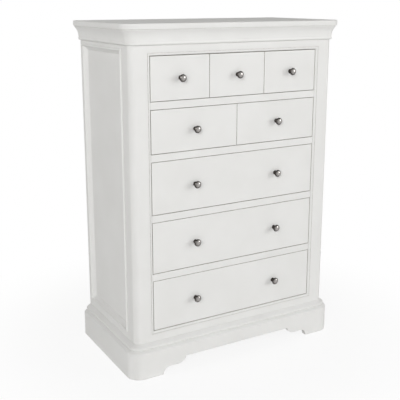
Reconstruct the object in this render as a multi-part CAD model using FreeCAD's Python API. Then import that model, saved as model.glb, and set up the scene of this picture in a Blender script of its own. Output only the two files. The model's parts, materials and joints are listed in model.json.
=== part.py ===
# Tall painted chest of drawers with a moulded top and a bracket plinth.
# Millimetres, +Z up, the front faces -Y, the origin is on the floor under the middle of the chest.
import FreeCAD, Part
import math
import os

# Whole chest
opening_width = 774.0
post_width = 83.0
body_depth = 485.0
corner_radius = 26.0
drawer_setback = 4.5
overrun = 5.0
tolerance = 0.01

# Levels, from the floor up
plinth_height = 119.0
bottom_rail_height = 64.0
tall_opening = 212.5
small_opening = 172.5
rail_height = 29.0
top_rail_height = 97.5
top_thickness = 21.0

# Top board and cornice
top_overhang = 30.0
top_edge_round = 4.0
under_edge_round = 1.5
cornice_height = 58.5
cornice_bead_height = 12.0
cornice_bead_reach = 9.5
cove_foot_reach = 8.0
cove_head_reach = 25.0
cove_foot_height = 13.0
cove_lip_height = 4.0

# Plinth and the moulding above it
plinth_thickness = 24.0
plinth_gap = 6.0
plinth_edge_round = 8.0
base_moulding_height = 22.5
base_foot_reach = 16.5
base_nose_reach = 19.0
base_nose_round = 9.0
ledge_angle = 34.0
block_size = 70.0
block_corner_play = 4.0

# Bracket cut-out of the plinth front
foot_inner_half = 362.0
cavetto_radius = 30.0
cutout_fillet = 34.0
ovolo_width = 40.0
ovolo_height = 27.0
quarter_curve_share = 0.5523

# Front frame
stile_thickness = 30.0
rail_depth = 60.0
tenon_length = 14.0
tenon_thickness = 12.0
tenon_setback = 8.0
tenon_shoulder = 5.0
opening_bead_width = 11.0
opening_bead_depth = 8.0
opening_bead_quirk = 1.5
opening_bead_flat = 2.5
opening_bead_drop = 7.0

# Side frames
frame_thickness = 28.0
side_front_margin = 74.0
side_back_margin = 24.0
side_top_margin = 13.5
side_bottom_margin = 27.5
panel_thickness = 8.0
panel_recess = 13.0
panel_tongue = 8.0
panel_play = 0.5
panel_bead_width = 25.0
panel_bead_lip = 10.0
panel_bead_crest = 5.0
panel_bead_crest_place = 8.0
panel_bead_hollow = 2.5

# Back
rear_post_width = 45.0
back_panel_thickness = 6.0
back_rebate_width = 12.0
back_rail_thickness = 22.0
back_tenon_thickness = 10.0
screw_length = 16.0
screw_radius = 1.75
screw_head_radius = 3.6
screw_head_depth = 2.4
screw_play = 0.1
rail_screw_spacing = 150.0
rail_screw_count = 5

# Drawer carriers
runner_reach = 10.0
runner_tongue_length = 8.0
runner_tongue_thickness = 10.0
guide_height = 25.0
guide_clearance = 2.0

# Drawers
drawer_gap = 2.0
front_thickness = 20.0
front_edge_round = 1.5
side_inset = 12.0
side_thickness = 12.0
side_top_clearance = 6.0
dovetail_depth = 10.0
dovetail_mouth = 8.0
drawer_back_thickness = 12.0
drawer_back_housing = 5.0
drawer_back_drop = 8.0
drawer_back_gap = 14.0
drawer_bottom_thickness = 6.0
drawer_bottom_height = 10.0
drawer_groove_depth = 6.0
drawer_bottom_play = 0.5

# Knobs
knob_radius = 15.0
knob_projection = 28.0
wide_knob_half_spacing = 194.0
knob_screw_radius = 2.0
knob_screw_head_radius = 4.5
knob_screw_head_height = 2.6
knob_screw_grip = 10.0
knob_screw_play = 0.1
knob_hole_play = 0.5
knob_hole_depth = 11.0
# Foot, waist, flare, rim and brow as shares of the knob's radius, then of its projection
knob_foot_shares = (0.60, 0.08)
knob_waist_shares = (0.37, 0.34)
knob_flare_shares = (0.90, 0.62)
knob_rim_shares = (1.00, 0.72)
knob_brow_shares = (0.93, 0.82)

# Openings from the bottom row up, with the drawers of each row from left to right
rows = (
    (tall_opening, ("fifth_drawer",)),
    (tall_opening, ("fourth_drawer",)),
    (tall_opening, ("third_drawer",)),
    (small_opening, ("second_left_drawer", "second_right_drawer")),
    (small_opening, ("top_left_drawer", "top_middle_drawer", "top_right_drawer")),
)

# Planes across the chest
opening_half = opening_width / 2
body_half = opening_half + post_width
frame_inner = body_half - frame_thickness
rear_inner = body_half - rear_post_width
side_outer = opening_half - drawer_gap - side_inset
plinth_reach = plinth_gap + plinth_thickness
plinth_inner = body_half + plinth_gap

# Planes from front to back
overall_depth = body_depth + max(top_overhang, plinth_reach)
back = overall_depth / 2
body_front = back - body_depth
stile_back = body_front + stile_thickness
drawer_face = body_front + drawer_setback
front_inner = drawer_face + front_thickness
rail_back = drawer_face + rail_depth
tenon_front = drawer_face + tenon_setback
tenon_back = tenon_front + tenon_thickness
back_plane = back - back_panel_thickness
back_rail_front = back_plane - back_rail_thickness
drawer_end = back_plane - drawer_back_gap
frame_front = body_front + side_front_margin + panel_bead_lip
frame_back = back - side_back_margin - panel_bead_lip
corner_x = body_half - corner_radius
corner_y = body_front + corner_radius
plinth_back_front = back - plinth_thickness

# Levels worked out from the stack
opening_bottom = plinth_height + bottom_rail_height
floors = [opening_bottom]
for height, names in rows[:-1]:
    floors.append(floors[-1] + height + rail_height)
opening_top = floors[-1] + rows[-1][0]
frame_top = opening_top + top_rail_height
overall_height = frame_top + top_thickness
cornice_bottom = frame_top - cornice_height
base_top = plinth_height + base_moulding_height
panel_bead_top = cornice_bottom - side_top_margin
panel_bead_bottom = base_top + side_bottom_margin
frame_low = panel_bead_bottom + panel_bead_lip
frame_high = panel_bead_top - panel_bead_lip

# The panel lies within the side frame's thickness, nearer its inner face
panel_face = body_half - panel_recess
panel_inner = panel_face - panel_thickness

origin = FreeCAD.Vector(0, 0, 0)
x_axis = FreeCAD.Vector(1, 0, 0)
y_axis = FreeCAD.Vector(0, 1, 0)
z_axis = FreeCAD.Vector(0, 0, 1)
right_angle = 90.0
mitre_angle = right_angle / 2
diagonal_share = math.sqrt(0.5)


def box(x0, x1, y0, y1, z0, z1):
    return Part.makeBox(x1 - x0, y1 - y0, z1 - z0, FreeCAD.Vector(x0, y0, z0))


def mirrored(shape):
    return shape.mirror(origin, x_axis)


def both_sides(left):
    return [left, mirrored(left)]


def save(node, *solids):
    shape = solids[0]
    if len(solids) > 1:
        shape = Part.makeCompound(list(solids))
    shape.exportStep("parts/" + node + ".step")


def traced_face(start, stretches):
    # A stretch is a point for a straight line, a pair for an arc, or three poles for a curve
    edges = []
    here = start
    for stretch in list(stretches) + [start]:
        if isinstance(stretch, FreeCAD.Vector):
            edges.append(Part.LineSegment(here, stretch).toShape())
            here = stretch
            continue
        if len(stretch) == 2:
            edges.append(Part.Arc(here, stretch[0], stretch[1]).toShape())
        else:
            curve = Part.BezierCurve()
            curve.setPoles([here] + list(stretch))
            edges.append(curve.toShape())
        here = stretch[-1]
    return Part.Face(Part.Wire(edges))


def body_prism(reach, low, high):
    # The body's plan with its two round front corners, grown outwards by reach
    half = body_half + reach
    radius = corner_radius + reach
    diagonal = radius * diagonal_share

    def at(x, y):
        return FreeCAD.Vector(x, y, low)

    front = corner_y - radius
    plan = traced_face(at(-half, back), [
        at(-half, corner_y),
        (at(-corner_x - diagonal, corner_y - diagonal), at(-corner_x, front)),
        at(corner_x, front),
        (at(corner_x + diagonal, corner_y - diagonal), at(half, corner_y)),
        at(half, back),
    ])
    return plan.extrude(z_axis * (high - low))


def moulding(profile):
    # Front, left and right lengths of a moulding round the body, mitred on the two corners
    pivot = FreeCAD.Vector(-corner_x, corner_y, 0)
    run = profile.extrude(x_axis * (2 * corner_x))
    front_turn = profile.revolve(pivot, z_axis, -mitre_angle)
    mitre = profile.copy()
    mitre.rotate(pivot, z_axis, -mitre_angle)
    side_turn = mitre.revolve(pivot, z_axis, -mitre_angle)
    end = profile.copy()
    end.rotate(pivot, z_axis, -right_angle)
    side_run = end.extrude(y_axis * (back - corner_y))
    front = run.fuse([front_turn, mirrored(front_turn)]).removeSplitter()
    left = side_run.fuse(side_turn).removeSplitter()
    return [front] + both_sides(left)


def on_front(reach, level):
    # A point of a moulding's section, at the left end of the straight front
    return FreeCAD.Vector(-corner_x, body_front - reach, level)


def mitred_frame(section, bead_width, width, height):
    # Four lengths of bead round a width by height field; section(run, inset) gives its face there
    lengths = []
    turns = ((width, height, 0), (height, width, 1), (width, height, 2), (height, width, 3))
    for length, span, turn in turns:
        bar = section(-length / 2, -span / 2).extrude(x_axis * length)
        outer = bar.BoundBox
        wedge = traced_face(FreeCAD.Vector(-length / 2, -span / 2, outer.ZMin), [
            FreeCAD.Vector(length / 2, -span / 2, outer.ZMin),
            FreeCAD.Vector(length / 2 - bead_width, bead_width - span / 2, outer.ZMin),
            FreeCAD.Vector(bead_width - length / 2, bead_width - span / 2, outer.ZMin),
        ]).extrude(z_axis * outer.ZLength)
        piece = bar.common(wedge)
        piece.rotate(origin, z_axis, turn * right_angle)
        lengths.append(piece.Solids[0])
    return lengths


def stood(shapes, across, outward, place):
    # Turns flat frames upright: their X runs along across, their Y up, their Z outward
    turn = FreeCAD.Rotation(across, z_axis, outward, "ZXY")
    upright = []
    for shape in shapes:
        copy = shape.copy()
        copy.Placement = FreeCAD.Placement(place, turn).multiply(copy.Placement)
        upright.append(copy)
    return upright


def make_top_board():
    board = body_prism(top_overhang, frame_top, overall_height)

    def rim(level):
        return [edge for edge in board.Edges
                if edge.BoundBox.ZLength < tolerance
                and abs(edge.BoundBox.ZMin - level) < tolerance
                and edge.BoundBox.YMin < back - tolerance]

    board = board.makeFillet(top_edge_round, rim(overall_height))
    board = board.makeFillet(under_edge_round, rim(frame_top))
    save("top_board", board)


def make_cornice():
    bead_radius = cornice_bead_height / 2
    bead_centre = cornice_bead_reach - bead_radius
    foot_rise = math.sqrt(bead_radius ** 2 - (cove_foot_reach - bead_centre) ** 2)
    cove_start = cornice_bottom + cove_foot_height
    cove_end = frame_top - cove_lip_height
    cove_width = cove_head_reach - cove_foot_reach
    cove_height = cove_end - cove_start
    cove_turn = 2 * math.atan2(cove_width, cove_height)
    cove_radius = cove_height / math.sin(cove_turn)
    halfway = on_front(cove_foot_reach + cove_radius * (1 - math.cos(cove_turn / 2)),
                       cove_start + cove_radius * math.sin(cove_turn / 2))
    profile = traced_face(on_front(0, cornice_bottom), [
        on_front(bead_centre, cornice_bottom),
        (on_front(cornice_bead_reach, cornice_bottom + bead_radius),
         on_front(cove_foot_reach, cornice_bottom + bead_radius + foot_rise)),
        on_front(cove_foot_reach, cove_start),
        (halfway, on_front(cove_head_reach, cove_end)),
        on_front(cove_head_reach, frame_top),
        on_front(0, frame_top),
    ])
    save("cornice", *moulding(profile))


def sloped_ledge(reach, radius, inner, top):
    # A round edge at reach that runs on into a ledge, which rises to the level top at inner
    slope = math.radians(ledge_angle)
    turn = math.radians(right_angle - ledge_angle) / 2
    ledge_reach = reach - radius * (1 - math.sin(slope))
    ledge_level = top - (ledge_reach - inner) * math.tan(slope)
    edge_level = ledge_level - radius * math.cos(slope)
    middle = on_front(reach - radius * (1 - math.cos(turn)), edge_level + radius * math.sin(turn))
    return [on_front(reach, edge_level), (middle, on_front(ledge_reach, ledge_level)), on_front(inner, top)]


def make_base_moulding():
    foot = on_front(base_foot_reach, plinth_height)
    nose = sloped_ledge(base_nose_reach, base_nose_round, 0, base_top)
    profile = traced_face(on_front(0, plinth_height), [foot] + nose)
    save("base_moulding", *moulding(profile))


def bracket_cutout():
    # Half of the outline runs up from the foot: hollow quarter, fillet, round quarter, straight
    shelf = cavetto_radius
    head = cavetto_radius + ovolo_height
    shelf_start = foot_inner_half - cavetto_radius
    ovolo_start = shelf_start - cutout_fillet
    ovolo_end = ovolo_start - ovolo_width
    bow = cavetto_radius * diagonal_share
    front = body_front - plinth_reach - overrun

    def at(x, z):
        return FreeCAD.Vector(x, front, z)

    def ovolo(side):
        return (at(side * (ovolo_start - ovolo_width * quarter_curve_share), shelf),
                at(side * ovolo_end, head - ovolo_height * quarter_curve_share))

    outline = traced_face(at(-foot_inner_half, -overrun), [
        at(-foot_inner_half, 0),
        (at(-shelf_start - bow, bow), at(-shelf_start, shelf)),
        at(-ovolo_start, shelf),
        ovolo(-1) + (at(-ovolo_end, head),),
        at(ovolo_end, head),
        tuple(reversed(ovolo(1))) + (at(ovolo_start, shelf),),
        at(shelf_start, shelf),
        (at(shelf_start + bow, bow), at(foot_inner_half, 0)),
        at(foot_inner_half, -overrun),
    ])
    return outline.extrude(y_axis * (plinth_thickness + 2 * overrun))


def make_plinth():
    shoulder = sloped_ledge(plinth_reach, plinth_edge_round, base_foot_reach, plinth_height)
    profile = traced_face(on_front(plinth_gap, 0), [on_front(plinth_reach, 0)] + shoulder + [
        on_front(plinth_gap, plinth_height),
    ])
    front, left, right = moulding(profile)
    save("plinth_front", front.cut(bracket_cutout()))
    save("plinth_sides", left, right)
    save("plinth_back", box(-plinth_inner, plinth_inner, plinth_back_front, back, 0, plinth_height))

    block_inner = plinth_inner - block_size
    block_front = body_front - plinth_gap
    front_block = box(-plinth_inner, -block_inner, block_front, block_front + block_size, 0, plinth_height)
    corner = [edge for edge in front_block.Edges
              if edge.BoundBox.XMax < tolerance - plinth_inner
              and edge.BoundBox.YMax < block_front + tolerance]
    front_block = front_block.makeFillet(corner_radius + plinth_gap + block_corner_play, corner)
    rear_block = box(-plinth_inner, -block_inner, plinth_back_front - block_size, plinth_back_front,
                     0, plinth_height)
    save("corner_blocks", *(both_sides(front_block) + both_sides(rear_block)))


def divider_centres(count):
    return [opening_width * (place / count) - opening_half for place in range(1, count)]


def carrier_spans(count):
    # X spans of the strips that carry the drawer sides: one at each end, one under each divider
    side_inner = side_outer - side_thickness
    outer_span = (side_inner - runner_reach, opening_half + runner_reach)
    shared_half = drawer_gap / 2 + side_inset + side_thickness + runner_reach
    spans = [(-outer_span[1], -outer_span[0]), outer_span]
    for centre in divider_centres(count):
        spans.append((centre - shared_half, centre + shared_half))
    return spans


def carriers(count, front, low, high):
    # Strips from a front rail to the back rail, with a tongue into each
    middle = (low + high) / 2
    tongue_half = runner_tongue_thickness / 2
    strips = []
    for x0, x1 in carrier_spans(count):
        strip = box(x0, x1, front, back_rail_front, low, high)
        tongue = box(x0, x1, front - runner_tongue_length, back_rail_front + runner_tongue_length,
                     middle - tongue_half, middle + tongue_half)
        strips.append(strip.fuse(tongue).removeSplitter())
    return strips


def front_rail(face, rear, low, high):
    rail = box(-opening_half, opening_half, face, rear, low, high)
    half = opening_half + tenon_length
    tenon = box(-half, half, tenon_front, tenon_back, low + tenon_shoulder, high - tenon_shoulder)
    return rail.fuse(tenon).removeSplitter()


def back_rail(low, high):
    rail = box(-rear_inner, rear_inner, back_rail_front, back_plane, low, high)
    middle = (back_rail_front + back_plane) / 2
    half = rear_inner + tenon_length
    tenon = box(-half, half, middle - back_tenon_thickness / 2, middle + back_tenon_thickness / 2,
                low + tenon_shoulder, high - tenon_shoulder)
    return rail.fuse(tenon).removeSplitter()


def screw(x, z, play):
    head = Part.makeCone(screw_head_radius + play, screw_radius + play, screw_head_depth,
                         FreeCAD.Vector(x, back, z), -y_axis)
    shank = Part.makeCylinder(screw_radius + play, screw_length + play, FreeCAD.Vector(x, back, z), -y_axis)
    return head.fuse(shank).removeSplitter()


def back_screws(play):
    post_x = rear_inner + back_rebate_width / 2
    places = []
    for (height, names), floor in zip(rows, floors):
        places += [(-post_x, floor + height / 2), (post_x, floor + height / 2)]
    rail_span = rail_screw_spacing * (rail_screw_count - 1)
    for number in range(rail_screw_count):
        x = number * rail_screw_spacing - rail_span / 2
        places += [(x, plinth_height + bottom_rail_height / 2), (x, frame_top - top_rail_height / 2)]
    return [screw(x, z, play) for x, z in places]


def make_rails_and_carriers():
    bead_field = box(-opening_half - opening_bead_width, opening_half + opening_bead_width,
                     body_front - overrun, body_front + opening_bead_depth,
                     opening_bottom - opening_bead_width, opening_top + opening_bead_width)
    top_rail = front_rail(body_front, stile_back, opening_top, frame_top)
    bottom_rail = front_rail(body_front, rail_back, plinth_height, opening_bottom)
    middle_rails = [front_rail(drawer_face, rail_back, floor - rail_height, floor) for floor in floors[1:]]
    runners = []
    for (height, names), floor in zip(rows, floors):
        runners += carriers(len(names), rail_back, floor - rail_height, floor)
    kickers = carriers(len(rows[-1][1]), stile_back, opening_top, opening_top + rail_height)
    back_rails = [back_rail(plinth_height, opening_bottom)]
    back_rails += [back_rail(floor - rail_height, floor) for floor in floors[1:]]
    back_rails += [back_rail(opening_top, frame_top)]

    strips = Part.makeCompound(runners + kickers)
    holes = Part.makeCompound(back_screws(screw_play))
    save("top_front_rail", top_rail.cut(bead_field).cut(strips))
    save("bottom_front_rail", bottom_rail.cut(bead_field).cut(strips))
    save("drawer_rails", *[rail.cut(strips) for rail in middle_rails])
    save("drawer_runners", *runners)
    save("drawer_kickers", *kickers)
    save("back_rails", *[rail.cut(strips).cut(holes) for rail in back_rails])
    save("back_screws", *back_screws(0))
    panel_half = rear_inner + back_rebate_width - panel_play
    panel = box(-panel_half, panel_half, back_plane, back, plinth_height, frame_top)
    save("back_panel", panel.cut(holes))
    front_joints = Part.makeCompound([top_rail, bottom_rail] + middle_rails + kickers)
    return front_joints, Part.makeCompound(back_rails), bead_field


def make_guides_and_dividers():
    guides = []
    dividers = []
    divider_half = drawer_gap / 2 + side_inset - guide_clearance
    for (height, names), floor in zip(rows, floors):
        guide = box(-opening_half, -side_outer - guide_clearance, front_inner, back_rail_front,
                    floor, floor + guide_height)
        guides += both_sides(guide)
        for centre in divider_centres(len(names)):
            dividers.append(box(centre - divider_half, centre + divider_half, front_inner, back_rail_front,
                                floor, floor + height))
    save("drawer_guides", *guides)
    save("drawer_dividers", *dividers)


def opening_bead_section(run, inset):
    def at(across, height):
        return FreeCAD.Vector(run, inset + across, height)

    drop = opening_bead_drop
    curve_start = opening_bead_quirk + opening_bead_flat
    curve_width = opening_bead_width - curve_start
    return traced_face(at(0, -opening_bead_depth), [
        at(0, -opening_bead_quirk),
        at(opening_bead_quirk, -opening_bead_quirk),
        at(opening_bead_quirk, 0),
        at(curve_start, 0),
        (at(curve_start + curve_width * diagonal_share, drop * diagonal_share - drop),
         at(opening_bead_width, -drop)),
        at(opening_bead_width, -opening_bead_depth),
    ])


def make_opening_bead():
    width = opening_width + 2 * opening_bead_width
    height = opening_top - opening_bottom + 2 * opening_bead_width
    frame = mitred_frame(opening_bead_section, opening_bead_width, width, height)
    place = FreeCAD.Vector(0, body_front, (opening_top + opening_bottom) / 2)
    save("opening_bead", *stood(frame, x_axis, -y_axis, place))


def panel_bead_section(run, inset):
    def at(across, height):
        return FreeCAD.Vector(run, inset + across, height)

    crest = panel_bead_crest_place
    slope = panel_bead_width - crest
    fall = panel_bead_crest + panel_recess
    return traced_face(at(0, 0), [
        (at(crest * (1 - diagonal_share), panel_bead_crest * diagonal_share), at(crest, panel_bead_crest)),
        (at(crest + slope / 2 - panel_bead_hollow * diagonal_share,
            panel_bead_crest - fall / 2 - panel_bead_hollow * diagonal_share),
         at(panel_bead_width, -panel_recess)),
        at(panel_bead_lip, -panel_recess),
        at(panel_bead_lip, 0),
    ])


def make_side_frames(front_joints, back_joints, bead_field):
    panel = box(-panel_face, -panel_inner, frame_front - panel_tongue, frame_back + panel_tongue,
                frame_low - panel_tongue, frame_high + panel_tongue)
    groove = box(-panel_face, -panel_inner, frame_front - panel_tongue - panel_play,
                 frame_back + panel_tongue + panel_play,
                 frame_low - panel_tongue - panel_play, frame_high + panel_tongue + panel_play)
    rails = []
    for low, high, tenon_low, tenon_high in (
            (plinth_height, frame_low,
             plinth_height + tenon_shoulder, frame_low - panel_tongue - panel_play),
            (frame_high, frame_top,
             frame_high + panel_tongue + panel_play, frame_top - tenon_shoulder)):
        rail = box(-body_half, -frame_inner, frame_front, frame_back, low, high)
        tenon = box(-panel_face, -panel_inner, frame_front - tenon_length, frame_back + tenon_length,
                    tenon_low, tenon_high)
        rails.append(rail.cut(groove).fuse(tenon).removeSplitter())
    joints = Part.makeCompound(rails)

    plan = body_prism(0, plinth_height, frame_top)
    stile = box(-body_half, -opening_half, body_front, stile_back, plinth_height, frame_top)
    stile = stile.common(plan).cut(bead_field).cut(front_joints)
    arm = box(-body_half, -frame_inner, stile_back, frame_front, plinth_height, frame_top)
    arm = arm.common(plan).cut(groove).cut(joints)
    rear = box(-body_half, -rear_inner, frame_back, back, plinth_height, frame_top)
    rebate = box(-rear_inner - back_rebate_width, -rear_inner + overrun, back_plane, back + overrun,
                 plinth_height - overrun, frame_top + overrun)
    screw_holes = Part.makeCompound(back_screws(screw_play))
    rear = rear.cut(rebate).cut(groove).cut(joints).cut(back_joints).cut(screw_holes)

    bead_width = frame_back - frame_front + 2 * panel_bead_lip
    bead_height = panel_bead_top - panel_bead_bottom
    bead = mitred_frame(panel_bead_section, panel_bead_width, bead_width, bead_height)
    bead_place = FreeCAD.Vector(-body_half, (frame_front + frame_back) / 2,
                                (panel_bead_top + panel_bead_bottom) / 2)
    bead = stood(bead, -y_axis, -x_axis, bead_place)

    left_nodes = {
        "front_post": [stile.Solids[0], arm.Solids[0]],
        "rear_post": [rear.Solids[0]],
        "side_rails": rails,
        "side_panel": [panel],
        "panel_bead": bead,
    }
    for node, solids in left_nodes.items():
        save(node + "_left", *solids)
        save(node + "_right", *[mirrored(solid) for solid in solids])


def knob_solid(x, z):
    def at(shares):
        return FreeCAD.Vector(x + knob_radius * shares[0], drawer_face - knob_projection * shares[1], z)

    foot_radius = knob_radius * knob_foot_shares[0]
    brow_radius = knob_radius * knob_brow_shares[0]
    dome_rise = knob_projection * (1 - knob_brow_shares[1])
    dome_radius = (brow_radius ** 2 + dome_rise ** 2) / (2 * dome_rise)
    dome_turn = math.asin(brow_radius / dome_radius) / 2
    tip = FreeCAD.Vector(x, drawer_face - knob_projection, z)
    dome_drop = dome_radius * (1 - math.cos(dome_turn))
    dome = tip + FreeCAD.Vector(dome_radius * math.sin(dome_turn), dome_drop, 0)
    centre = FreeCAD.Vector(x, drawer_face, z)
    profile = traced_face(centre, [
        FreeCAD.Vector(x + foot_radius, drawer_face, z),
        at(knob_foot_shares),
        (at(knob_waist_shares), at(knob_flare_shares)),
        (at(knob_rim_shares), at(knob_brow_shares)),
        (dome, tip),
    ])
    knob = profile.revolve(centre, y_axis, 4 * right_angle)
    hole = Part.makeCylinder(knob_screw_radius + knob_screw_play, knob_hole_depth, centre, -y_axis)
    return knob.cut(hole)


def knob_screw(x, z):
    shank_end = FreeCAD.Vector(x, drawer_face - knob_screw_grip, z)
    shank = Part.makeCylinder(knob_screw_radius, knob_screw_grip + front_thickness, shank_end, y_axis)
    seat = FreeCAD.Vector(x, front_inner, z)
    head = Part.makeCylinder(knob_screw_head_radius, knob_screw_head_height, seat, y_axis)
    return shank.fuse(head).removeSplitter()


def make_drawer(name, left, right, floor, height, knob_places):
    # The front covers the ends of its own sides, so neighbours almost touch
    middle = (left + right) / 2
    half = (right - left) / 2
    outer = half - side_inset
    inner = outer - side_thickness
    side_high = floor + height - side_top_clearance
    bottom_low = floor + drawer_bottom_height
    bottom_high = bottom_low + drawer_bottom_thickness
    knob_level = floor + height / 2

    groove = box(-inner - drawer_groove_depth, inner + drawer_groove_depth,
                 front_inner - drawer_groove_depth, drawer_end + overrun, bottom_low, bottom_high)
    bottom_half = inner + drawer_groove_depth - drawer_bottom_play
    bottom_front = front_inner - drawer_groove_depth + drawer_bottom_play
    bottom = box(-bottom_half, bottom_half, bottom_front, drawer_end, bottom_low, bottom_high)
    back_board = box(-inner - drawer_back_housing, inner + drawer_back_housing,
                     drawer_end - drawer_back_thickness, drawer_end,
                     bottom_high, side_high - drawer_back_drop)

    board = box(-outer, -inner, front_inner, drawer_end, floor, side_high)
    tail_middle = (outer + inner) / 2

    def tail_point(width, y):
        return FreeCAD.Vector(width - tail_middle, y, floor + drawer_gap)

    tail = traced_face(tail_point(-dovetail_mouth / 2, front_inner), [
        tail_point(-side_thickness / 2, front_inner - dovetail_depth),
        tail_point(side_thickness / 2, front_inner - dovetail_depth),
        tail_point(dovetail_mouth / 2, front_inner),
    ]).extrude(z_axis * (side_high - floor - drawer_gap))
    tails = Part.makeCompound(both_sides(tail))
    side = board.fuse(tail).removeSplitter().cut(groove).cut(back_board)

    front = box(-half, half, drawer_face, front_inner, floor + drawer_gap, floor + height - drawer_gap)
    face_edges = [edge for edge in front.Edges if edge.BoundBox.YMax < drawer_face + tolerance]
    front = front.makeFillet(front_edge_round, face_edges).cut(groove).cut(tails)
    knobs = []
    for place in knob_places:
        hole = Part.makeCylinder(knob_screw_radius + knob_hole_play, front_thickness,
                                 FreeCAD.Vector(place, drawer_face, knob_level), y_axis)
        front = front.cut(hole)
        knobs += [knob_solid(place, knob_level), knob_screw(place, knob_level)]

    nodes = {
        "front": [front],
        "sides": both_sides(side.Solids[0]) + [back_board],
        "bottom": [bottom],
        "knobs": knobs,
    }
    for piece, solids in nodes.items():
        for solid in solids:
            solid.translate(x_axis * middle)
        save(name + "_" + piece, *solids)


def make_drawers():
    for (height, names), floor in zip(rows, floors):
        count = len(names)
        width = (opening_width - drawer_gap * (count + 1)) / count
        knob_places = [0]
        if count == 1:
            knob_places = [-wide_knob_half_spacing, wide_knob_half_spacing]
        for number, name in enumerate(names):
            left = drawer_gap - opening_half + number * (width + drawer_gap)
            make_drawer(name, left, left + width, floor, height, knob_places)


os.makedirs("parts", exist_ok=True)
make_top_board()
make_cornice()
make_base_moulding()
make_plinth()
front_joints, back_joints, bead_field = make_rails_and_carriers()
make_guides_and_dividers()
make_opening_bead()
make_side_frames(front_joints, back_joints, bead_field)
make_drawers()
overall_width = 2 * (body_half + max(top_overhang, plinth_reach))
print("width", overall_width, "depth", overall_depth, "height", overall_height)
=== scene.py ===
# Looks of a white painted chest of drawers: five rows, eight drawers, polished round knobs.
import json
import math

import bpy
from mathutils import Euler, Matrix, Vector

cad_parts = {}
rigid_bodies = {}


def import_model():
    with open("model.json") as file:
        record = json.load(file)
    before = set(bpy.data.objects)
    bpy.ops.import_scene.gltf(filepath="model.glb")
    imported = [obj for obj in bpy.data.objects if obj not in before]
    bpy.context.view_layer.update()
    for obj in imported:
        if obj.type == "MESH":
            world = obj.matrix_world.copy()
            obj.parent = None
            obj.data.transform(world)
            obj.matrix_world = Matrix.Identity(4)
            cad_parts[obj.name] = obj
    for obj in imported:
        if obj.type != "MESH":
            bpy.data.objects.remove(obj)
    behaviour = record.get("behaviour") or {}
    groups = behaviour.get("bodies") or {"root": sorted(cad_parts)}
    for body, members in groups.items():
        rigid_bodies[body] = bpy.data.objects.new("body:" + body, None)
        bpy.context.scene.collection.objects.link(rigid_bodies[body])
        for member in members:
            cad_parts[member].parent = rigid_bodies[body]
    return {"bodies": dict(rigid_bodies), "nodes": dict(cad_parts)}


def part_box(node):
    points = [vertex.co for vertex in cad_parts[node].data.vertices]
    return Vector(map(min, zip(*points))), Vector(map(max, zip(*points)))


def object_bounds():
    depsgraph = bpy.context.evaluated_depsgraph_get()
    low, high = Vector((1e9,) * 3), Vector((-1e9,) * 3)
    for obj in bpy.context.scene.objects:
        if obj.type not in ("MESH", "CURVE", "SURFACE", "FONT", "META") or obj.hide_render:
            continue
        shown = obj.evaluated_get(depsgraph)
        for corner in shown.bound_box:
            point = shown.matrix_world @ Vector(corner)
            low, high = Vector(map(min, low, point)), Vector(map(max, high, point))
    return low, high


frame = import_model()
cad_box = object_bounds()
nodes = frame["nodes"]

# Lengths are in metres, and colours are linear red, green and blue.

# Satin paint
paint_light = (0.806, 0.806, 0.797, 1.0)
paint_shade = (0.776, 0.775, 0.763, 1.0)
# The next colour and its share paint shade into the gaps and inside corners
paint_gap_shade = (0.290, 0.270, 0.200, 1.0)
paint_worn = (0.845, 0.838, 0.812, 1.0)
paint_gap_shade_share = 0.75
paint_worn_share = 0.8
paint_mottle = 0.16
paint_grain_across = 0.0026
paint_grain_along = 0.16
paint_grain_depth = 0.00005
paint_peel = 0.0017
paint_peel_depth = 0.000012
paint_rough_shares = (0.62, 0.74)
paint_burnish_share = 0.10
paint_shine_share = 0.16

# Eased and worn arrises, and painted shade darkening corners and gaps
arris = 0.0011
worn_arris = 0.0022
arris_wear = 0.014
arris_turn_shares = (0.995, 0.80)
arris_wear_shares = (0.42, 0.66)
# Painted shade: how far occlusion is sought, and the occlusion span over which the shade grows
gap_shade_reach = 0.008
gap_shade_open_shares = (0.60, 0.15)
edge_samples = 6

# Bare timber of the drawer sides, runners and guides
timber_early = (0.640, 0.500, 0.345, 1.0)
timber_late = (0.465, 0.325, 0.195, 1.0)
# The pore colour below also serves as painted shade in gaps and corners, by the share that follows
timber_pore_and_gap_shade = (0.330, 0.220, 0.130, 1.0)
timber_gap_shade_share = 0.45
timber_worn_share = 0.5
timber_rough_shares = (0.55, 0.72)
ring_spacing = 0.0065
ring_stretch = 16.0
ring_waver = 5.4
ring_waver_scale = 7.0
ring_late_share = 0.5
ring_late_power = 2.2
pith_depth = 0.09
streak_across = 0.05
streak_along = 0.6
streak_shares = (0.35, 0.75)
streak_late_share = 0.35
pore_across = 0.0004
pore_along = 0.011
pore_depth = 0.00004
pore_shares = (0.60, 0.75)
pore_dark_share = 0.5
drawer_back_depth = 0.013

# Thin board of the drawer bottoms and the back
board_light = (0.670, 0.545, 0.385, 1.0)
board_dark = (0.540, 0.405, 0.260, 1.0)
# Share of painted shade in the board's gaps and corners
board_gap_shade_share = 0.5
board_figure_across = 0.030
board_figure_along = 0.42
board_fibre_across = 0.0007
board_fibre_along = 0.020
board_fibre_depth = 0.00003
board_fibre_shares = (0.55, 0.75)
board_fibre_dark_share = 0.4

# Polished knobs
metal_light = (0.385, 0.368, 0.354, 1.0)
# The dark tone is tarnish, the painted shade in the screws' gaps, and the patina behind each dome, which
# also paints in dark reflections
metal_tarnish_and_shade = (0.036, 0.032, 0.029, 1.0)
metal_ring = 0.0004
metal_ring_depth = 0.0000015
metal_smear = 0.006
metal_smear_shares = (0.5, 0.8)
metal_smear_dark_share = 0.25
metal_rough_shares = (0.09, 0.21)
# Where the bright dome ends and the dark patina begins; the patina also stands in for dark reflections
dome_height = 0.0004
dome_fade = 0.0044

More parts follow.
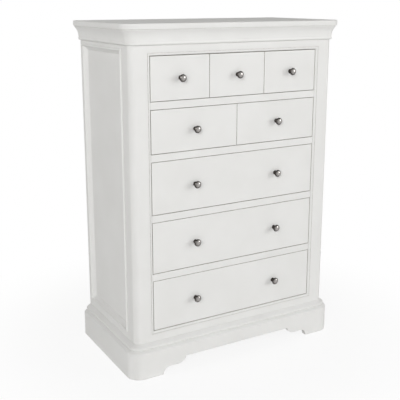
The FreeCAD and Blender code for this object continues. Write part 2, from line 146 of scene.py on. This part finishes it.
# Zinc plated screws of the back
zinc_light = (0.560, 0.555, 0.520, 1.0)
zinc_dark = (0.400, 0.390, 0.350, 1.0)
zinc_fleck = 0.0012
# How far the painted shade reaches into the screws' gaps
zinc_gap_shade_reach = 0.006
zinc_rough_shares = (0.32, 0.50)

# Noise: how many layers it has, how strong each is next to the one before, and the span most of it fills
few_layers = 1.0
some_layers = 3.0
many_layers = 4.0
soft_layer_share = 0.5
strong_layer_share = 0.6
noise_shares = (0.3, 0.7)

# Radians that the growth rings turn through in one unit
wave_radians = 20.0

# The most by which a pattern is moved on one piece
own_shift = Vector((7.0, 5.0, 3.0))

# Camera: the view is 400 by 400 pixels, and the film is measured in millimetres
view_pixels = 400.0
focal_pixels = 728.6
film_width = 36.0
camera_place = Vector((-1.578, -2.664, 1.485))
camera_yaw = math.radians(29.94)
camera_pitch = math.radians(13.65)
camera_rise_share = -0.06

# Light: each lamp has a place and a strength in watts
white = (1.0, 1.0, 1.0, 1.0)
world_colour = (1.0, 0.988, 0.960, 1.0)
world_zenith_strength = 0.16
world_horizon_strength = 0.65
lamp_size = 4.0
lamps = {
    "key": (Vector((-6.2, -6.9, 4.2)), 392.0),
    "right_fill": (Vector((7.0, -6.0, 2.9)), 252.0),
    "back_fill": (Vector((0.6, 6.4, 2.0)), 45.0),
}

# Floor
floor_half = 14.0
floor_tone = (0.93, 0.93, 0.93, 1.0)
floor_shadow_share = 0.12
floor_shadow_span = (0.5, 1.3)

axes = "XYZ"

# The two inputs and the output that a mixing node has for each kind of value
mix_sockets = {"VECTOR": (4, 5, 1), "RGBA": (6, 7, 2)}


# Helpers for building node trees
def node(tree, kind, inputs=None, **settings):
    """Adds a node, with its settings and with each input either joined or set."""
    made = tree.nodes.new(kind)
    for name, value in settings.items():
        setattr(made, name, value)
    for name, value in (inputs or {}).items():
        socket = made.inputs[name]
        if isinstance(value, bpy.types.NodeSocket):
            tree.links.new(value, socket)
        else:
            socket.default_value = value
    return made


def reckon(tree, operation, first, second):
    """One arithmetic step on two values."""
    return node(tree, "ShaderNodeMath", {0: first, 1: second}, operation=operation).outputs[0]


def reckon_vector(tree, operation, first, second):
    """One arithmetic step on two vectors."""
    return node(tree, "ShaderNodeVectorMath", {0: first, 1: second}, operation=operation).outputs[0]


def ramp(tree, value, span, ends=(0.0, 1.0), smooth=False):
    """The value moved from one span to another, and held at its ends."""
    made = node(
        tree,
        "ShaderNodeMapRange",
        {"Value": value, "From Min": span[0], "From Max": span[1], "To Min": ends[0], "To Max": ends[1]},
        interpolation_type="SMOOTHSTEP" if smooth else "LINEAR",
    )
    return made.outputs["Result"]


def mix(tree, kind, share, first, second):
    """A point or a colour between two others, by the second one's share."""
    one, other, result = mix_sockets[kind]
    made = node(tree, "ShaderNodeMix", {0: share, one: first, other: second}, data_type=kind)
    return made.outputs[result]


def blend(tree, share, first, second, most=1.0):
    """A colour between two others: the second one's share is the given one, times most."""
    if most < 1.0:
        share = reckon(tree, "MULTIPLY", share, most)
    return mix(tree, "RGBA", share, first, second)


def own_point(tree):
    """A point on the piece, the same at rest and in every pose."""
    return node(tree, "ShaderNodeTexCoord").outputs["Object"]


def shifted(tree, point):
    """The point moved by a different amount on each piece, so that no two look alike."""
    chance = node(tree, "ShaderNodeObjectInfo").outputs["Random"]
    shift = node(tree, "ShaderNodeVectorMath", {0: own_shift, "Scale": chance}, operation="SCALE")
    return reckon_vector(tree, "ADD", point, shift.outputs[0])


def stretched(tree, point, across, along, grain):
    """The point in units of the figure's size: long along the grain and short across it."""
    sizes = [1 / along if axis == grain else 1 / across for axis in axes]
    return node(tree, "ShaderNodeMapping", {"Vector": point, "Scale": sizes}).outputs[0]


def noise(tree, point, size=1.0, layers=some_layers, layer_share=soft_layer_share):
    """Smooth noise from 0 to 1, of a given size."""
    inputs = {"Vector": point, "Scale": 1 / size, "Detail": layers, "Roughness": layer_share}
    return node(tree, "ShaderNodeTexNoise", inputs).outputs["Fac"]


def bump(tree, height, depth, under=None):
    """A surface raised by a height from 0 to 1, over another if one is given."""
    inputs = {"Height": height, "Distance": depth}
    if under is not None:
        inputs["Normal"] = under
    return node(tree, "ShaderNodeBump", inputs).outputs["Normal"]


def empty_tree(owner):
    """The node tree of a material or a world, with nothing in it yet."""
    owner.use_nodes = True
    owner.node_tree.nodes.clear()
    return owner.node_tree


def new_material(name):
    """A plain material with its shader: (material, its tree, the shader)."""
    made = bpy.data.materials.new(name)
    tree = empty_tree(made)
    shader = node(tree, "ShaderNodeBsdfPrincipled")
    node(tree, "ShaderNodeOutputMaterial", {"Surface": shader.outputs[0]})
    return made, tree, shader


def join(tree, shader, **inputs):
    """Joins values to the shader's inputs."""
    for name, value in inputs.items():
        tree.links.new(value, shader.inputs[name.replace("_", " ")])


def eased_edge(tree):
    """(the surface direction with its arrises eased, how worn the point is from 0 to 1)."""
    eased = node(tree, "ShaderNodeBevel", {"Radius": arris}, samples=edge_samples).outputs[0]
    wide = node(tree, "ShaderNodeBevel", {"Radius": worn_arris}, samples=edge_samples).outputs[0]
    straight = node(tree, "ShaderNodeNewGeometry").outputs["Normal"]
    turn = node(tree, "ShaderNodeVectorMath", {0: wide, 1: straight}, operation="DOT_PRODUCT")
    edge = ramp(tree, turn.outputs["Value"], arris_turn_shares)
    patchy = noise(tree, own_point(tree), arris_wear, many_layers, strong_layer_share)
    return eased, reckon(tree, "MULTIPLY", edge, ramp(tree, patchy, arris_wear_shares))


def painted_gap_shade(tree, reach):
    """How deep in a gap or corner the point lies, from 0 in the open to 1: the mask for painted shade
    there.
    """
    around = node(tree, "ShaderNodeAmbientOcclusion", {"Distance": reach}, samples=edge_samples)
    return ramp(tree, around.outputs["AO"], gap_shade_open_shares)


# Materials
def satin_paint(name, grain):
    """Satin paint with a slight peel over faint grain, thin on the arrises, with painted shade darkening
    its gaps and corners.
    """
    made, tree, shader = new_material(name)
    point = shifted(tree, own_point(tree))
    mottle = noise(tree, point, paint_mottle, many_layers)
    eased, worn = eased_edge(tree)
    colour = blend(tree, ramp(tree, mottle, noise_shares), paint_shade, paint_light)
    # Painted shade: darker where the point lies deep in a gap or corner
    colour = blend(tree, painted_gap_shade(tree, gap_shade_reach), colour, paint_gap_shade, paint_gap_shade_share)
    colour = blend(tree, worn, colour, paint_worn, paint_worn_share)
    peel = noise(tree, point, paint_peel, few_layers)
    surface = bump(tree, peel, paint_peel_depth, eased)
    sheen = mottle
    if grain:
        fibre = noise(tree, stretched(tree, point, paint_grain_across, paint_grain_along, grain))
        surface = bump(tree, fibre, paint_grain_depth, surface)
        sheen = reckon(tree, "MULTIPLY", reckon(tree, "ADD", fibre, mottle), 1 / 2)
    rough = ramp(tree, sheen, noise_shares, paint_rough_shares)
    rough = reckon(tree, "SUBTRACT", rough, reckon(tree, "MULTIPLY", worn, paint_burnish_share))
    join(tree, shader, Base_Color=colour, Roughness=rough, Normal=surface)
    shader.inputs["Specular IOR Level"].default_value = paint_shine_share
    return made


def finish_timber(tree, shader, point, grain):
    """Puts the look of planed timber on a shader: growth rings, pores along the grain, broken arrises, and
    painted shade in gaps and corners.
    """
    pith = [0.0 if axis == grain else pith_depth for axis in axes]
    log = stretched(tree, reckon_vector(tree, "ADD", point, pith), 1.0, ring_stretch, grain)
    rings = node(
        tree,
        "ShaderNodeTexWave",
        {
            "Vector": log,
            "Scale": math.tau / (wave_radians * ring_spacing),
            "Distortion": ring_waver,
            "Detail": some_layers,
            "Detail Scale": ring_waver_scale,
        },
        wave_type="RINGS",
        rings_direction=grain,
        wave_profile="SAW",
    ).outputs["Fac"]
    late = reckon(tree, "POWER", rings, ring_late_power)
    streak = noise(tree, stretched(tree, point, streak_across, streak_along, grain))
    pores = noise(tree, stretched(tree, point, pore_across, pore_along, grain))
    eased, worn = eased_edge(tree)
    colour = blend(tree, late, timber_early, timber_late, ring_late_share)
    colour = blend(tree, ramp(tree, streak, streak_shares), colour, timber_late, streak_late_share)
    colour = blend(tree, ramp(tree, pores, pore_shares), colour, timber_pore_and_gap_shade, pore_dark_share)
    # Painted shade in gaps and corners
    colour = blend(tree, painted_gap_shade(tree, gap_shade_reach), colour, timber_pore_and_gap_shade, timber_gap_shade_share)
    colour = blend(tree, worn, colour, timber_early, timber_worn_share)
    rough = ramp(tree, pores, noise_shares, timber_rough_shares)
    join(tree, shader, Base_Color=colour, Roughness=rough, Normal=bump(tree, pores, pore_depth, eased))


def timber(name, grain):
    """Planed timber whose grain runs along one axis."""
    made, tree, shader = new_material(name)
    finish_timber(tree, shader, shifted(tree, own_point(tree)), grain)
    return made


def drawer_timber(name, back_face):
    """Timber of a drawer's box: along the two sides, and across the back."""
    made, tree, shader = new_material(name)
    point = own_point(tree)
    split = node(tree, "ShaderNodeSeparateXYZ", {0: point}).outputs
    on_back = reckon(tree, "GREATER_THAN", split[1], back_face)
    turned = node(tree, "ShaderNodeCombineXYZ", {0: split[1], 1: split[0], 2: split[2]}).outputs[0]
    laid = mix(tree, "VECTOR", on_back, point, turned)
    finish_timber(tree, shader, shifted(tree, laid), "Y")
    return made


def thin_board(name, grain):
    """Thin board faced with veneer: a broad wavy figure, fine fibres and painted shade in gaps and corners.
    """
    made, tree, shader = new_material(name)
    point = shifted(tree, own_point(tree))
    broad = stretched(tree, point, board_figure_across, board_figure_along, grain)
    figure = noise(tree, broad, 1.0, many_layers, strong_layer_share)
    fibre = noise(tree, stretched(tree, point, board_fibre_across, board_fibre_along, grain))
    colour = blend(tree, ramp(tree, figure, noise_shares), board_light, board_dark)
    colour = blend(tree, ramp(tree, fibre, board_fibre_shares), colour, timber_late, board_fibre_dark_share)
    # Painted shade in gaps and corners
    colour = blend(tree, painted_gap_shade(tree, gap_shade_reach), colour, timber_pore_and_gap_shade, board_gap_shade_share)
    rough = ramp(tree, fibre, noise_shares, timber_rough_shares)
    join(tree, shader, Base_Color=colour, Roughness=rough, Normal=bump(tree, fibre, board_fibre_depth))
    return made


def polished_metal(name, middle, spread, tip):
    """Metal turned about each knob's middle: faint rings, rubbed bright on the dome and dark behind it,
    where a patina also paints in dark reflections.
    """
    made, tree, shader = new_material(name)
    point = own_point(tree)
    split = node(tree, "ShaderNodeSeparateXYZ", {0: point}).outputs
    aside = reckon(tree, "ABSOLUTE", reckon(tree, "SUBTRACT", split[0], middle.x), 0.0)
    aside = reckon(tree, "SUBTRACT", aside, spread)
    above = reckon(tree, "SUBTRACT", split[2], middle.z)
    flat = node(tree, "ShaderNodeCombineXYZ", {0: aside, 1: above}).outputs[0]
    radius = node(tree, "ShaderNodeVectorMath", {0: flat}, operation="LENGTH").outputs["Value"]
    turning = node(tree, "ShaderNodeCombineXYZ", {0: radius, 1: split[1]}).outputs[0]
    rings = noise(tree, turning, metal_ring)
    smear = noise(tree, point, metal_smear, many_layers, strong_layer_share)
    dome_edge = tip + dome_height
    # Dark patina behind the dome's face, which also paints in the dark reflections of the surroundings
    patina_and_dark_reflection = ramp(tree, split[1], (dome_edge, dome_edge + dome_fade))
    smeared = ramp(tree, smear, metal_smear_shares)
    colour = blend(tree, patina_and_dark_reflection, metal_light, metal_tarnish_and_shade)
    colour = blend(tree, smeared, colour, metal_tarnish_and_shade, metal_smear_dark_share)
    rough = ramp(tree, smear, noise_shares, metal_rough_shares)
    join(tree, shader, Base_Color=colour, Roughness=rough, Normal=bump(tree, rings, metal_ring_depth))
    shader.inputs["Metallic"].default_value = 1.0
    return made


def zinc(name):
    """Dull zinc plating with small flecks, and painted shade in its gaps."""
    made, tree, shader = new_material(name)
    fleck = noise(tree, own_point(tree), zinc_fleck)
    colour = blend(tree, ramp(tree, fleck, noise_shares), zinc_dark, zinc_light)
    # Painted shade in the screws' gaps, in the dark metal tone
    colour = blend(tree, painted_gap_shade(tree, zinc_gap_shade_reach), colour, metal_tarnish_and_shade)
    rough = ramp(tree, fleck, noise_shares, zinc_rough_shares)
    join(tree, shader, Base_Color=colour, Roughness=rough)
    shader.inputs["Metallic"].default_value = 1.0
    return made


# Which piece is made of what, and which way its grain runs
slot_of = {name: piece.material_slots[0].material.name for name, piece in nodes.items()}
drawers = [name for name in frame["bodies"] if name != "carcass"]
mouldings = ["cornice", "base_moulding", "opening_bead", "panel_bead_left", "panel_bead_right"]
upright = [name for name in nodes if "post" in name or "panel" in name or name == "corner_blocks"]
deep = [name for name in nodes if name.startswith(("side_rails", "plinth_sides", "drawer_"))]
deep.remove("drawer_rails")


def grain_of(name):
    """The axis along which a piece's grain runs, or none on a moulding, which is smooth."""
    if name in mouldings:
        return ""
    if name in upright:
        return "Z"
    return "Y" if name in deep else "X"


def clad(names, material):
    """Gives these nodes one material."""
    for name in names:
        nodes[name].material_slots[0].material = material


def clad_by_grain(slot, make):
    """Clads every piece of one slot, in one material for each way of the grain."""
    members = [name for name in nodes if slot_of[name] == slot]
    for grain in sorted({grain_of(name) for name in members}):
        material = make(f"{slot}_{grain.lower() or 'moulded'}", grain)
        clad([name for name in members if grain_of(name) == grain], material)


clad_by_grain("white_paint", satin_paint)
clad_by_grain("bare_wood", timber)
clad_by_grain("board", thin_board)
clad([name for name in nodes if slot_of[name] == "screw_steel"], zinc("screw_steel_zinc"))
for drawer in drawers:
    back_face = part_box(f"{drawer}_sides")[1].y - drawer_back_depth
    clad([f"{drawer}_sides"], drawer_timber(f"{drawer}_timber", back_face))
    low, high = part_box(f"{drawer}_knobs")
    knob_radius = (high.z - low.z) / 2
    spread = (high.x - low.x) / 2 - knob_radius
    clad([f"{drawer}_knobs"], polished_metal(f"{drawer}_metal", (low + high) / 2, spread, low.y))


# Light, floor and camera
def add_object(name, data):
    """An object in the scene that holds the given data."""
    made = bpy.data.objects.new(name, data)
    bpy.context.scene.collection.objects.link(made)
    return made


def seen_rays(tree):
    """1 for what is seen, straight or in metal or glass, and 0 for the light that falls on the object."""
    path = node(tree, "ShaderNodeLightPath").outputs
    mirrored = reckon(tree, "MAXIMUM", path["Is Glossy Ray"], path["Is Transmission Ray"])
    return reckon(tree, "MAXIMUM", path["Is Camera Ray"], mirrored)


def make_world():
    """A soft studio: brighter all round than overhead, and white behind the object."""
    world = bpy.data.worlds.new("studio")
    bpy.context.scene.world = world
    tree = empty_tree(world)
    toward = node(tree, "ShaderNodeTexCoord").outputs["Generated"]
    rise = node(tree, "ShaderNodeSeparateXYZ", {0: toward}).outputs[2]
    strength = ramp(tree, rise, (0.0, 1.0), (world_horizon_strength, world_zenith_strength), True)
    soft = node(tree, "ShaderNodeBackground", {"Color": world_colour, "Strength": strength}).outputs[0]
    plain = node(tree, "ShaderNodeBackground", {"Color": white, "Strength": 1.0}).outputs[0]
    mixed = node(tree, "ShaderNodeMixShader", {0: seen_rays(tree), 1: soft, 2: plain}).outputs[0]
    node(tree, "ShaderNodeOutputWorld", {"Surface": mixed})


def make_lamp(name, place, strength, aim):
    """A square soft box that shines from its place to a point."""
    data = bpy.data.lights.new(name, "AREA")
    data.shape = "SQUARE"
    data.size = lamp_size
    data.energy = strength
    lamp = add_object(name, data)
    lamp.location = place
    lamp.rotation_euler = (aim - place).to_track_quat("-Z", "Y").to_euler()
    lamp.visible_camera = False


def make_floor(level):
    """A white floor that keeps the shadow near the object and fades to plain white further out."""
    half = floor_half
    mesh = bpy.data.meshes.new("floor")
    corners = [(-half, -half, level), (half, -half, level), (half, half, level), (-half, half, level)]
    mesh.from_pydata(corners, [], [range(len(corners))])
    material = bpy.data.materials.new("floor_white")
    mesh.materials.append(material)
    tree = empty_tree(material)
    away = node(tree, "ShaderNodeVectorMath", {0: own_point(tree)}, operation="LENGTH").outputs["Value"]
    plain = ramp(tree, away, floor_shadow_span, (1 - floor_shadow_share, 1.0), True)
    share = reckon(tree, "MULTIPLY", plain, seen_rays(tree))
    lit = node(tree, "ShaderNodeBsdfDiffuse", {"Color": floor_tone}).outputs[0]
    glow = node(tree, "ShaderNodeEmission", {"Color": white, "Strength": 1.0}).outputs[0]
    mixed = node(tree, "ShaderNodeMixShader", {0: share, 1: lit, 2: glow}).outputs[0]
    node(tree, "ShaderNodeOutputMaterial", {"Surface": mixed})
    add_object("floor", mesh)


def make_camera():
    """A camera where the photograph was taken, level from side to side and looking slightly down."""
    data = bpy.data.cameras.new("camera")
    data.sensor_width = film_width
    data.lens = focal_pixels / view_pixels * film_width
    data.shift_y = camera_rise_share
    camera = add_object("camera", data)
    turn = Euler((math.pi / 2 - camera_pitch, 0.0, -camera_yaw)).to_matrix()
    camera.matrix_world = Matrix.Translation(camera_place) @ turn.to_4x4()
    bpy.context.scene.camera = camera


middle_of_object = (cad_box[0] + cad_box[1]) / 2
make_world()
for name, (place, strength) in lamps.items():
    make_lamp(name, place, strength, middle_of_object)
make_floor(cad_box[0].z)
make_camera()
bpy.context.scene.view_settings.view_transform = "Standard"
